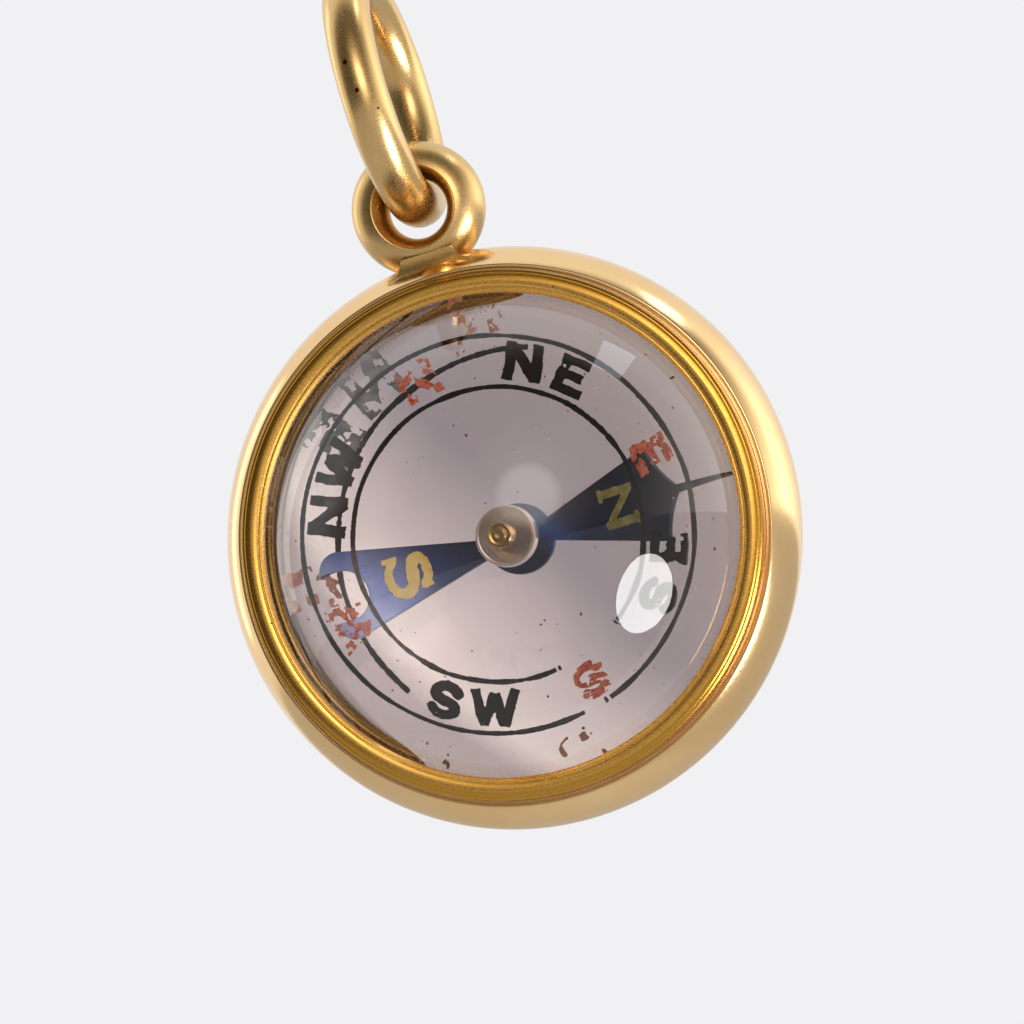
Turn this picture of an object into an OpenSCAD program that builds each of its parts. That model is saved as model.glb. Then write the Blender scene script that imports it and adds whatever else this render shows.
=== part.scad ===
// Orb compass: a two-sided pocket compass between two domed crystals,
// hung from a jump ring. Millimetres. Z is up along the drop, the front
// looks along -Y, and the origin is the centre of the jump ring's eye.

/* [Case] */
// Outer diameter of the case band
case_d = 20; // [19:0.1:22]
// Radius of the band's rounded outside
band_round = 2.36; // [2.2:0.02:2.6]
// Half the width between the band's two shoulders
band_half_w = 1.7; // [1.5:0.02:1.8]
// Half the width of the rib inside the band
rib_half_w = 0.83; // [0.6:0.01:1]
// Flat of the shoulder that shows outside the bezel
shoulder_w = 0.22; // [0.18:0.01:0.3]
// Width of the groove turned in the shoulder, round the bezel
groove_w = 0.12; // [0.08:0.01:0.15]
// Depth of that groove
groove_deep = 0.12; // [0.05:0.01:0.2]

/* [Bezels] */
// Width of a bezel's bead, from its outer wall to the glass
bezel_w = 0.78; // [0.72:0.01:0.9]
// Radius of the bead's crown
bead_round = 0.6; // [0.56:0.01:0.7]
// How far the centre of the crown stands above the band's shoulder
bead_lift = 0.15; // [0.05:0.01:0.3]
// Step from the bead's outer wall in to the skirt
bezel_step = 0.1; // [0.06:0.01:0.14]
// Wall of the skirt that fits inside the band
skirt_wall = 0.46; // [0.36:0.01:0.48]
// Radius of the thin line turned in the bead
line_round = 0.035; // [0.02:0.005:0.05]
// Distance of that line from the glass
line_in = 0.17; // [0.12:0.01:0.25]
// Straight wall at the bezel's lip, over the glass
lip_wall = 0.12; // [0.08:0.01:0.2]

/* [Crystals] */
// Height of a crystal's dome above the bezel's lip
dome_rise = 5.1; // [3:0.1:6]
// From the middle of the case to a crystal's flat inner face
half_gap = 1.4; // [1.3:0.02:1.6]
// Radial gap between a crystal and the skirt round it
seat_gap = 0.05; // [0.03:0.01:0.08]
// Gap between the dome and the lip that holds it
glass_gap = 0.03; // [0.02:0.01:0.05]

/* [Inside] */
// Radial width of the ring between the two crystals
spacer_w = 0.5; // [0.3:0.05:0.8]
// Thickness of a sealing ring
seal_t = 0.1; // [0.06:0.01:0.2]
// Middle radius of the front dial's inner circle
inner_circle_r = 4.1; // [3.5:0.1:4.6]
// Middle radius of the rear dial's inner circle, drawn a little larger
rear_circle_r = 4.25; // [3.5:0.05:4.6]
// Middle radius of a dial's outer circle
outer_circle_r = 5.8; // [5.2:0.1:6.4]
// Width of a painted circle
circle_w = 0.17; // [0.1:0.01:0.25]
// Thickness of the paint
paint_t = 0.03; // [0.02:0.01:0.05]

/* [Pivots] */
// Outer radius of a pivot cup
cup_r = 0.34; // [0.28:0.01:0.45]
// Depth of a pivot cup in its crystal
cup_deep = 0.3; // [0.25:0.01:0.5]
// How far a pivot cup stands proud of the crystal's flat face
cup_proud = 0.3; // [0.24:0.01:0.32]
// Wall of a pivot cup
cup_wall = 0.11; // [0.08:0.01:0.12]
// Thickness of a pivot cup's floor
cup_floor = 0.2; // [0.15:0.01:0.22]
// Thickness of a jewel
jewel_t = 0.28; // [0.2:0.01:0.3]
// Radius of a pivot
pivot_r = 0.07; // [0.05:0.01:0.09]
// Running gap round a pivot
pivot_gap = 0.03; // [0.02:0.01:0.05]
// Gap between a pivot's end and the floor of its cup
end_play = 0.06; // [0.04:0.01:0.1]

/* [Needle] */
// How far the blade lies behind the middle of the case
needle_back = 0.37; // [0.2:0.01:0.5]
// Thickness of the blade
blade_t = 0.15; // [0.1:0.01:0.2]
// Direction of the north end, in degrees above +X seen from the front
needle_turn = 1; // [-180:1:180]
// Radius of the round hub of the blade
hub_r = 0.84; // [0.8:0.02:0.9]
// Half width that the blade's straight edges would have at its centre
waist_w = 0.03; // [0.02:0.01:0.08]
// Flare of each edge of the north half, in degrees
north_flare = 18.2; // [17:0.2:19]
// Flare of each edge of the south half, in degrees
south_flare = 13.4; // [12.6:0.2:14]
// From the centre to the corners of the north end
north_corner = 3.57; // [3.4:0.01:3.7]
// Height of the point beyond those corners
north_point = 0.62; // [0.5:0.02:0.7]
// Radius of the hollow between each of those corners and the point
brace_round = 2.4; // [1.8:0.1:4]
// Length of the slender spike beyond the point
spike_l = 1.4; // [0.8:0.1:1.6]
// Width of the spike at its root
spike_w = 0.2; // [0.16:0.02:0.3]
// Width of the spike at its end
spike_end_w = 0.1; // [0.06:0.01:0.14]
// From the centre to the ends of the south prongs
south_end = 4.89; // [4.7:0.01:5.1]
// Half the width of the notch between the prongs
notch_r = 0.6; // [0.5:0.02:0.66]
// Depth of that notch
notch_deep = 1.08; // [0.9:0.02:1.2]
// Radius of each prong's outer corner
prong_round = 0.5; // [0.3:0.05:0.55]
// Radius of the staff
staff_r = 0.14; // [0.12:0.01:0.18]
// Gap of the press fits on the staff
press_gap = 0.01; // [0.005:0.005:0.02]
// Radius of the polished cap in front of the blade
front_cap_r = 0.8; // [0.7:0.02:0.84]
// How far the front cap's face stands ahead of the middle of the case
front_cap_out = 0.95; // [0.8:0.01:0.98]
// Thickness of the front cap's disc
cap_disc_t = 0.3; // [0.26:0.02:0.4]
// Radius of the neck between that disc and the blade
cap_neck_r = 0.45; // [0.35:0.01:0.6]
// Flat of the rim round the dish in the front cap's face
cap_rim_w = 0.08; // [0.05:0.01:0.12]
// Depth of that dish
dish_deep = 0.18; // [0.1:0.02:0.2]
// Radius of the cap behind the blade
rear_cap_r = 0.55; // [0.45:0.02:0.6]
// Length of the cap behind the blade
rear_cap_l = 0.4; // [0.2:0.05:0.5]

/* [Loop] */
// How far the loop's centre stands above the band
loop_rise = 1.8; // [1.6:0.05:2.2]
// Outer radius of the loop
loop_r = 2.33; // [2.2:0.02:2.6]
// Half the depth of the loop, from front to back
loop_half_deep = 1.1; // [0.95:0.01:1.15]
// Radius of the loop's bore at its narrowest
throat_r = 1.03; // [1:0.01:1.15]
// Radius of the round that opens the bore to both faces
bore_round = 1.6; // [1.4:0.05:2.2]
// Half the width of the saddle at its top
saddle_top_w = 0.95; // [0.8:0.05:1.2]
// Radius of the hollow on each side of the saddle
saddle_round = 0.55; // [0.45:0.05:0.7]
// Half the depth of the saddle at its top, from front to back
saddle_top_deep = 1.1; // [1.04:0.01:1.16]
// Half the depth of the saddle at its foot
saddle_half_deep = 1.45; // [1.4:0.01:1.5]
// Radius of the hollow in front of and behind the saddle
saddle_face_round = 0.95; // [0.9:0.05:1.1]
// How far the saddle's top stands above the band
saddle_rise = 0.14; // [0.1:0.02:0.2]

/* [Jump ring] */
// Middle radius of the jump ring
ring_r = 3.94; // [3.7:0.02:4.4]
// Diameter of the ring's wire
wire_d = 1.64; // [1.5:0.02:1.7]
// Gap between the wire and the loop that hangs on it
hang_gap = 0.03; // [0.02:0.01:0.05]

/* [Hidden] */
$fn = 96;
close_fn = 360; // for the round faces that the saddle is fitted to
fit_gap = 0.02; // between a bezel's skirt and the band
past = 1; // how far a cut runs past the face it opens

// Radii of the case, from the outside in
case_r = case_d / 2;
band_mid_r = case_r - band_round;
shoulder_r = band_mid_r + sqrt(pow(band_round, 2) - pow(band_half_w, 2));
bead_r = shoulder_r - shoulder_w;
lip_r = bead_r - bezel_w;
bead_mid_r = (bead_r + lip_r) / 2;
skirt_r = bead_r - bezel_step;
skirt_in_r = skirt_r - skirt_wall;
crystal_r = skirt_in_r - seat_gap;
spacer_in_r = crystal_r - spacer_w;

// Heights ahead of the middle of the case
bead_base = band_half_w + fit_gap;
bead_mid = band_half_w + bead_lift;
bead_edge = bead_mid + sqrt(pow(bead_round, 2) - pow(bezel_w / 2, 2));
lip_h = bead_edge - lip_wall;
dome_edge_r = lip_r - glass_gap;
dome_r = (pow(dome_edge_r, 2) + pow(dome_rise, 2)) / (2 * dome_rise);
dome_mid = lip_h + dome_rise - dome_r;
line_r = lip_r + line_in;
line_h = bead_mid + sqrt(pow(bead_round, 2) - pow(line_r - bead_mid_r, 2));

// Heights along the drop
hinge_z = -ring_r;
loop_z = hinge_z - (throat_r - wire_d / 2 - hang_gap);
case_z = loop_z - loop_rise - case_r;

// Pivots and needle
cup_hole_r = cup_r - cup_wall;
cup_end = half_gap + cup_deep;
pivot_end = cup_end - cup_floor - end_play;
jewel_far = cup_end - cup_floor;
staff_end = half_gap - cup_proud - 2 * end_play;
point = north_corner + north_point;
blade_front = blade_t / 2 - needle_back;
blade_back = -blade_t / 2 - needle_back;
staff_hole_r = staff_r + press_gap;
dish_edge_r = front_cap_r - cap_rim_w;
dish_r = (pow(dish_edge_r, 2) + pow(dish_deep, 2)) / (2 * dish_deep);

// Stands its children on the compass's own axis: what they have along +Z
// looks out of the front
module on_axis() {
    translate([0, 0, case_z]) rotate([90, 0, 0]) children();
}

// The same, looking out of the back
module on_axis_behind() {
    translate([0, 0, case_z]) rotate([-90, 0, 0]) children();
}

// A ring with a rectangular section
module washer(r_out, r_in, low, high) {
    rotate_extrude() translate([r_in, low]) square([r_out - r_in, high - low]);
}

// Section of the band: a round outside, a flat shoulder and a counterbore
// on each side, and the rib between the counterbores
module band_section() {
    difference() {
        intersection() {
            translate([band_mid_r, 0]) circle(band_round);
            translate([skirt_in_r, -band_half_w]) square([case_r, 2 * band_half_w]);
        }
        for (side = [0, 1]) mirror([0, side]) {
            translate([0, rib_half_w]) square([skirt_r + fit_gap, case_r]);
            translate([bead_r, band_half_w - groove_deep]) square([groove_w, case_r]);
        }
    }
}

module case_band() color([0.90, 0.72, 0.45])
    on_axis() rotate_extrude() band_section();

// The band's whole round outside, for what is soldered on to it
module band_outside() {
    on_axis() rotate_extrude($fn = close_fn) translate([band_mid_r, 0])
        circle(band_round, $fn = close_fn);
}

// Section of a bezel: a crowned bead with a turned line, a lip over the
// dome, and a skirt that fits in the band's counterbore
module bezel_section() {
    difference() {
        union() {
            intersection() {
                translate([bead_mid_r, bead_mid]) circle(bead_round);
                translate([lip_r, bead_base]) square([bezel_w, 2 * bead_round]);
            }
            translate([skirt_in_r, rib_half_w + fit_gap])
                square([skirt_wall, bead_mid - rib_half_w - fit_gap]);
        }
        translate([0, dome_mid]) circle(dome_r + glass_gap);
        translate([line_r, line_h]) circle(line_round, $fn = 24);
    }
}

module front_bezel() color([0.86, 0.64, 0.26])
    on_axis() rotate_extrude() bezel_section();

module rear_bezel() color([0.86, 0.64, 0.26])
    on_axis_behind() rotate_extrude() bezel_section();

// A domed crystal with a flat inner face, a short round edge and a blind
// hole for its pivot cup
module crystal() {
    difference() {
        intersection() {
            translate([0, 0, dome_mid]) sphere(dome_r);
            translate([0, 0, half_gap]) cylinder(h = 2 * dome_r, r = crystal_r);
        }
        translate([0, 0, half_gap - past]) cylinder(h = cup_deep + past, r = cup_r);
    }
}

module front_crystal() color([0.80, 0.77, 0.80, 0.4]) on_axis() crystal();
module rear_crystal() color([0.80, 0.77, 0.80, 0.4]) on_axis_behind() crystal();

// The ring that keeps the crystals apart
module spacer_ring() color([0.80, 0.66, 0.36])
    on_axis() washer(crystal_r, spacer_in_r, seal_t - half_gap, half_gap - seal_t);

module seal() washer(crystal_r, spacer_in_r, half_gap - seal_t, half_gap);

module front_seal() color([0.25, 0.22, 0.20]) on_axis() seal();
module rear_seal() color([0.25, 0.22, 0.20]) on_axis_behind() seal();

// The two painted circles on a crystal's inner face
module dial(inner_r) {
    for (r = [inner_r, outer_circle_r])
        washer(r + circle_w / 2, r - circle_w / 2, half_gap - paint_t, half_gap);
}

module front_dial() color([0.12, 0.11, 0.10]) on_axis() dial(inner_circle_r);
module rear_dial() color([0.12, 0.11, 0.10]) on_axis_behind() dial(rear_circle_r);

// A cup let into a crystal, open towards the needle
module pivot_cup() {
    difference() {
        translate([0, 0, half_gap - cup_proud])
            cylinder(h = cup_deep + cup_proud, r = cup_r);
        translate([0, 0, half_gap - past])
            cylinder(h = cup_deep + past - cup_floor, r = cup_hole_r);
    }
}

module front_pivot_cup() color([0.78, 0.60, 0.25]) on_axis() pivot_cup();
module rear_pivot_cup() color([0.78, 0.60, 0.25]) on_axis_behind() pivot_cup();

// A pierced stone at the bottom of a cup
module jewel() washer(cup_hole_r, pivot_r + pivot_gap, jewel_far - jewel_t, jewel_far);

module front_jewel() color([0.70, 0.15, 0.22]) on_axis() jewel();
module rear_jewel() color([0.70, 0.15, 0.22]) on_axis_behind() jewel();

// Half width of the blade at a distance from its centre
function blade_w(u, flare) = waist_w + u * tan(flare);

// Outline of the blade without its hub, the north end along +X: straight
// flared edges, a pointed north end and a forked south end
module blade_outline() {
    north_w = blade_w(north_corner, north_flare);
    south_w = blade_w(south_end, south_flare);
    difference() {
        polygon([[0, waist_w], [north_corner, north_w], [point, 0],
                 [north_corner, -north_w], [0, -waist_w],
                 [-south_end, -south_w], [-south_end, south_w]]);
        for (side = [0, 1]) mirror([0, side]) {
            brace_hollow(north_w);
            prong_corner(south_w);
        }
        translate([notch_deep - notch_r - south_end, 0]) circle(notch_r);
        translate([-south_end - past, -notch_r])
            square([notch_deep - notch_r + past, 2 * notch_r]);
    }
}

// Circle that hollows the edge from a north corner to the point: its arc
// passes through both
module brace_hollow(north_w) {
    chord = norm([north_point, north_w]);
    stand = sqrt(pow(brace_round, 2) - pow(chord / 2, 2)) / chord;
    translate([north_corner + north_point / 2 + stand * north_w,
               north_w / 2 + stand * north_point]) circle(brace_round);
}

// What lies outside the round of a prong's outer corner, which touches the
// flared edge and the end
module prong_corner(south_w) {
    middle_u = south_end - prong_round;
    middle_w = blade_w(middle_u, south_flare) - prong_round / cos(south_flare);
    difference() {
        polygon([[-middle_u, middle_w],
                 [-middle_u + prong_round * sin(south_flare),
                  middle_w + prong_round * cos(south_flare)],
                 [-south_end - past, south_w + past], [-south_end, middle_w]]);
        translate([-middle_u, middle_w]) circle(prong_round);
    }
}

// Slender spike that stands out of the point of the north end
module spike_outline() {
    polygon([[north_corner, spike_w / 2], [point + spike_l, spike_end_w / 2],
             [point + spike_l, -spike_end_w / 2], [north_corner, -spike_w / 2]]);
}

module needle_blade() color([0.16, 0.22, 0.36])
    on_axis() translate([0, 0, blade_back]) difference() {
        rotate([0, 0, needle_turn]) union() {
            linear_extrude(blade_t) blade_outline();
            linear_extrude(blade_t) spike_outline();
            cylinder(h = blade_t, r = hub_r);
        }
        translate([0, 0, -past]) cylinder(h = blade_t + 2 * past, r = staff_hole_r);
    }

// Polished cap in front of the blade: a dished disc on a neck
module needle_front_cap() color([0.82, 0.81, 0.78])
    on_axis() difference() {
        union() {
            translate([0, 0, front_cap_out - cap_disc_t])
                cylinder(h = cap_disc_t, r = front_cap_r);
            translate([0, 0, blade_front])
                cylinder(h = front_cap_out - cap_disc_t / 2 - blade_front, r = cap_neck_r);
        }
        translate([0, 0, front_cap_out - dish_deep + dish_r]) sphere(dish_r);
        translate([0, 0, blade_front - past])
            cylinder(h = front_cap_out - blade_front + 2 * past, r = staff_hole_r);
    }

module needle_rear_cap() color([0.78, 0.64, 0.32])
    on_axis() washer(rear_cap_r, staff_hole_r, blade_back - rear_cap_l, blade_back);

// Staff with a pivot at each end
module needle_staff() color([0.60, 0.60, 0.62])
    on_axis() {
        translate([0, 0, -staff_end]) cylinder(h = 2 * staff_end, r = staff_r);
        translate([0, 0, -pivot_end]) cylinder(h = 2 * pivot_end, r = pivot_r);
    }

// Section of the loop: a round outside and a bore that opens to both faces
module loop_section() {
    intersection() {
        translate([loop_r - loop_half_deep, 0]) circle(loop_half_deep);
        translate([throat_r + bore_round, 0]) circle(bore_round);
    }
}

// The loop without its bore, for what is shaped round it
module loop_outside() {
    at_loop() rotate_extrude($fn = close_fn) intersection() {
        union() {
            translate([loop_r - loop_half_deep, 0]) circle(loop_half_deep, $fn = close_fn);
            translate([0, -loop_half_deep]) square([loop_r - loop_half_deep, 2 * loop_half_deep]);
        }
        translate([0, -loop_half_deep]) square([loop_r, 2 * loop_half_deep]);
    }
}

module at_loop() {
    translate([0, 0, loop_z]) rotate([90, 0, 0]) children();
}

module loop() color([0.87, 0.68, 0.38]) difference() {
    at_loop() rotate_extrude() loop_section();
    band_outside();
}

// Saddle that carries the loop on the band, hollow all round
module loop_saddle() color([0.85, 0.64, 0.33]) difference() {
    on_axis() translate([0, 0, -saddle_half_deep]) linear_extrude(2 * saddle_half_deep)
        difference() {
            translate([-saddle_top_w - saddle_round, case_r - band_round])
                square([2 * (saddle_top_w + saddle_round), band_round + saddle_rise]);
            for (side = [-1, 1])
                translate([side * (saddle_top_w + saddle_round), case_r + saddle_rise])
                    circle(saddle_round);
        }
    for (side = [-1, 1])
        on_axis() translate([-case_r, case_r + saddle_rise, side * (saddle_top_deep + saddle_face_round)])
            rotate([0, 90, 0]) cylinder(h = case_d, r = saddle_face_round, $fn = close_fn);
    band_outside();
    loop_outside();
}

module jump_ring() color([0.84, 0.66, 0.36])
    rotate([0, 90, 0]) rotate_extrude() translate([ring_r, 0]) circle(wire_d / 2);

case_band();
loop();
loop_saddle();
front_bezel();
rear_bezel();
front_crystal();
rear_crystal();
spacer_ring();
front_seal();
rear_seal();
front_dial();
rear_dial();
front_pivot_cup();
rear_pivot_cup();
front_jewel();
rear_jewel();
needle_blade();
needle_front_cap();
needle_rear_cap();
needle_staff();
jump_ring();
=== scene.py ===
from functools import partial

import bpy
import numpy as np
from mathutils import Matrix, Vector
from mathutils.geometry import tessellate_polygon


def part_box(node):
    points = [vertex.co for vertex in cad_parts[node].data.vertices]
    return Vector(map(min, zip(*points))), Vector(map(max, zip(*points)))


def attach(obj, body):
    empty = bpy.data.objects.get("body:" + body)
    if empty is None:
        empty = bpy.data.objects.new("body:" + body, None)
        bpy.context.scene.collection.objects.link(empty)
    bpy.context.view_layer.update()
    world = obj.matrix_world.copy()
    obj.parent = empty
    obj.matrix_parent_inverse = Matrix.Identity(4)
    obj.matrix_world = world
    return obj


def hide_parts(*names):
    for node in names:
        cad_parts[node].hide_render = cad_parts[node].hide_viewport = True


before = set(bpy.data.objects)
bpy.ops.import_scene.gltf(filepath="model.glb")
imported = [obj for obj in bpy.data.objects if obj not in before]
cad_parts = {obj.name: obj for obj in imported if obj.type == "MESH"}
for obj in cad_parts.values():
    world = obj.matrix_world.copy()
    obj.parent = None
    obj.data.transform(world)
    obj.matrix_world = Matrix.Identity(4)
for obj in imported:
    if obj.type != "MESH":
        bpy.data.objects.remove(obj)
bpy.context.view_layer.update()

mm = 0.001  # every size below is in millimetres
caseLow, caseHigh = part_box("case_band")
caseZ = round((caseLow.z + caseHigh.z) / 2 / mm, 2)  # height of the compass's own axis
sideNames = {-1: "front", 1: "rear"}  # the front dial faces -Y


def showObject(name, data):
    thing = bpy.data.objects.new(name, data)
    bpy.context.scene.collection.objects.link(thing)
    return thing


# Camera
# The photograph's view: a little to the right of the compass's axis, a
# little below it, with the camera leaning. The case's middle lands on casePixel.
cameraLook = dict(azimuth=10.2, elevation=-5.6, lean=16.2, distance=450, fieldWidth=35.05,
                  sensor=36, imageSize=1024, casePixel=(514.2, 537.6), clip=(10, 20000))
az, el, lean = np.radians([cameraLook[key] for key in ("azimuth", "elevation", "lean")])
pictureAhead = np.array([-np.sin(az) * np.cos(el), np.cos(az) * np.cos(el), -np.sin(el)])
level = np.array([np.cos(az), np.sin(az), 0.0])
upright = np.cross(level, pictureAhead)
pictureRight = level * np.cos(lean) - upright * np.sin(lean)
pictureUp = level * np.sin(lean) + upright * np.cos(lean)


def makeCamera(look):
    perPixel = look["fieldWidth"] / look["imageSize"]
    offset = (np.array(look["casePixel"]) - look["imageSize"] / 2) * perPixel
    middle = np.array([0, 0, caseZ]) - offset[0] * pictureRight + offset[1] * pictureUp
    data = bpy.data.cameras.new("photoCamera")
    data.sensor_width = look["sensor"]
    data.lens = look["sensor"] * look["distance"] / look["fieldWidth"]
    data.clip_start, data.clip_end = (reach * mm for reach in look["clip"])
    camera = showObject("photoCamera", data)
    turn = Matrix(np.column_stack([pictureRight, pictureUp, -pictureAhead]).tolist())
    place = Vector((middle - pictureAhead * look["distance"]) * mm)
    camera.matrix_world = Matrix.Translation(place) @ turn.to_4x4()
    bpy.context.scene.camera = camera


makeCamera(cameraLook)
print("camera placed")


# Shapes
# Faces of a grid of points, row by row. A wrapped direction joins its last
# line of points to its first.
def gridFaces(rows, columns, wrapRows=True, wrapColumns=True):
    row, column = np.meshgrid(np.arange(rows if wrapRows else rows - 1),
                              np.arange(columns if wrapColumns else columns - 1),
                              indexing="ij")
    below, beside = (row + 1) % rows, (column + 1) % columns
    return np.stack([row * columns + column, below * columns + column,
                     below * columns + beside, row * columns + beside], -1).reshape(-1, 4)


# Turns the faces over if the solid they close has a negative volume
def facingOut(points, groups):
    volume = sum(np.einsum("ij,ij->", points[g[:, 0]],
                           np.cross(points[g[:, k]], points[g[:, k + 1]]))
                 for g in groups for k in range(1, g.shape[1] - 1))
    return groups if volume > 0 else [g[:, ::-1] for g in groups]


# Makes a piece from points in millimetres and groups of faces, gives it its
# material, and lets it ride on a body in place of its CAD nodes
def makePiece(name, points, groups, material, body, slot, nodes=(), sharp=40):
    points = np.asarray(points, float).reshape(-1, 3)
    groups = facingOut(points, groups)
    mesh = bpy.data.meshes.new(name)
    mesh.from_pydata((points * mm).tolist(), [], [f for g in groups for f in g.tolist()])
    mesh.validate()
    mesh.polygons.foreach_set("use_smooth", np.ones(len(mesh.polygons), bool))
    mesh.set_sharp_from_angle(angle=np.radians(sharp))
    mesh.materials.append(material)
    piece = showObject(name, mesh)
    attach(piece, body)
    if nodes:
        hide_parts(*nodes)
    return piece


# Points of an arc, with a zero third column: no rounding
def arc(x, y, radius, start, end, count):
    a = np.radians(np.linspace(start, end, count))
    return np.stack([x + radius * np.cos(a), y + radius * np.sin(a), 0 * a], -1)


# Rounds a closed outline of (x, y, radius) corners: a corner with a radius
# becomes a quadratic curve between two points that far from it, and a straight
# lead on each side keeps the flats flat. No curve takes more than the share
# most of an edge.
def rounded(corners, steps=6, most=0.4, lead=1.25):
    corners = np.asarray(corners, float)
    p, radius = corners[:, :2], corners[:, 2:]
    back, ahead = np.roll(p, 1, 0) - p, np.roll(p, -1, 0) - p
    backLong = np.linalg.norm(back, axis=1, keepdims=True)
    aheadLong = np.linalg.norm(ahead, axis=1, keepdims=True)
    reach = np.minimum(radius, most * np.minimum(backLong, aheadLong))
    back, ahead = back / backLong * reach, ahead / aheadLong * reach
    t = np.linspace(0, 1, steps)[None, :, None]
    curve = ((1 - t) ** 2 * (p + back)[:, None] + 2 * t * (1 - t) * p[:, None]
             + t ** 2 * (p + ahead)[:, None])
    every = np.concatenate([(p + lead * back)[:, None], curve, (p + lead * ahead)[:, None]], 1)
    keep = np.ones(every.shape[:2], bool)
    keep[radius[:, 0] == 0, 1:] = False
    return every[keep]


# The corners of a half outline, then its mirror image on the way back
def withMirror(half):
    return half + [(x, -y, radius) for x, y, radius in reversed(half)]


# Carries a profile of (radius, height) round the compass's axis. Height runs
# out of the front for side -1 and out of the back for side 1. With poles the
# profile is open, and starts and ends on the axis.
def turned(profile, count, side=-1, poles=False, axisZ=caseZ):
    profile = np.asarray(profile, float)
    body = profile[1:-1] if poles else profile
    around = np.linspace(0, 2 * np.pi, count, endpoint=False)[:, None]
    points = np.stack([body[:, 0] * np.sin(around), side * body[:, 1] + 0 * around,
                       axisZ + body[:, 0] * np.cos(around)], -1).reshape(-1, 3)
    n = len(body)
    if not poles:
        return points, [gridFaces(count, n)]
    ends = np.array([[0, side * profile[end, 1], axisZ] for end in (0, -1)])
    row = np.arange(count)
    after = (row + 1) % count
    first = np.stack([np.full(count, count * n), row * n, after * n], -1)
    last = np.stack([np.full(count, count * n + 1), after * n + n - 1, row * n + n - 1], -1)
    faces = [gridFaces(count, n, True, False), first[:, ::-1], last[:, ::-1]]
    return np.vstack([points, ends]), faces


# The same turned piece on the front and on the back of the case
def bothSides(kind, section, count, material, slot, node, poles=False):
    return [makePiece(name + kind, *turned(section, count, side, poles), material, "case", slot,
                      [name + node] if node else ()) for side, name in sideNames.items()]


# Smooth seeded unevenness between about -1 and 1: a sum of plane waves whose
# lengths lie round the given grain, by the factors of spread
def uneven(a, b, grain, seed, waves=14, spread=(0.6, 1.7), level=1.4):
    draw = np.random.default_rng(seed)
    turn = draw.uniform(0, 2 * np.pi, waves)
    pace = 2 * np.pi / (grain * draw.uniform(*spread, waves))
    phase = draw.uniform(0, 2 * np.pi, waves)
    total = 0 * (a + b)
    for k in range(waves):
        total = total + np.sin(pace[k] * (a * np.cos(turn[k]) + b * np.sin(turn[k])) + phase[k])
    return total / np.sqrt(waves) / level


# Materials
# A colour written as sRGB hex, in linear light by the standard's own formula
def linear(hexText):
    s = np.array([int(hexText[k:k + 2], 16) for k in (1, 3, 5)]) / 255
    c = np.where(s <= 0.04045, s / 12.92, ((s + 0.055) / 1.055) ** 2.4)
    return (*c.tolist(), 1.0)


# Gives a node's sockets a value each, or a link from a socket or from the
# first live output of a node
def fill(node, inputs):
    for key, value in inputs.items():
        if isinstance(value, bpy.types.Node):
            value = next(socket for socket in value.outputs if socket.enabled)
        if isinstance(value, bpy.types.NodeSocket):
            node.id_data.links.new(value, node.inputs[key])
        else:
            node.inputs[key].default_value = value
    return node


# Adds a node with its own settings and what its sockets get
def addNode(tree, kind, inputs=None, **settings):
    node = tree.nodes.new("ShaderNode" + kind)
    for key, value in settings.items():
        setattr(node, key, value)
    return fill(node, inputs or {})


def newMaterial(name):
    material = bpy.data.materials.new(name)
    material.use_nodes = True
    tree = material.node_tree
    return material, partial(addNode, tree), tree.nodes["Principled BSDF"]


def setRamp(node, stops):
    elements = node.color_ramp.elements
    for k, (at, colour) in enumerate(stops):
        element = elements[k] if k < 2 else elements.new(at)
        element.position, element.color = at, linear(colour)
    return node


# Object coordinates with the compass's axis at the origin, in metres
def objectPlace(add, scale=(1, 1, 1), turn=(0, 0, 0)):
    place = add("TexCoord").outputs["Object"]
    centre = add("Mapping", {"Location": (0, 0, -caseZ * mm), "Vector": place})
    return add("Mapping", {"Rotation": turn, "Scale": scale, "Vector": centre})


# Roughness from a noise, whose span gives the two ends of rough
def glossFrom(add, noise, look):
    (low, high), (smooth, dull) = look["span"], look["rough"]
    return add("MapRange", {"Value": noise, "From Min": low, "From Max": high,
                            "To Min": smooth, "To Max": dull})


# Gives a shader its colour and roughness, and a bump from a height
def finish(add, shader, look, colour, gloss, height):
    bump = add("Bump", {"Strength": look["bump"], "Distance": look["bumpDeep"] * mm,
                        "Height": height})
    fill(shader, {"Base Color": colour, "Roughness": gloss, "Normal": bump,
                  "Metallic": look["metallic"]})


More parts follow.
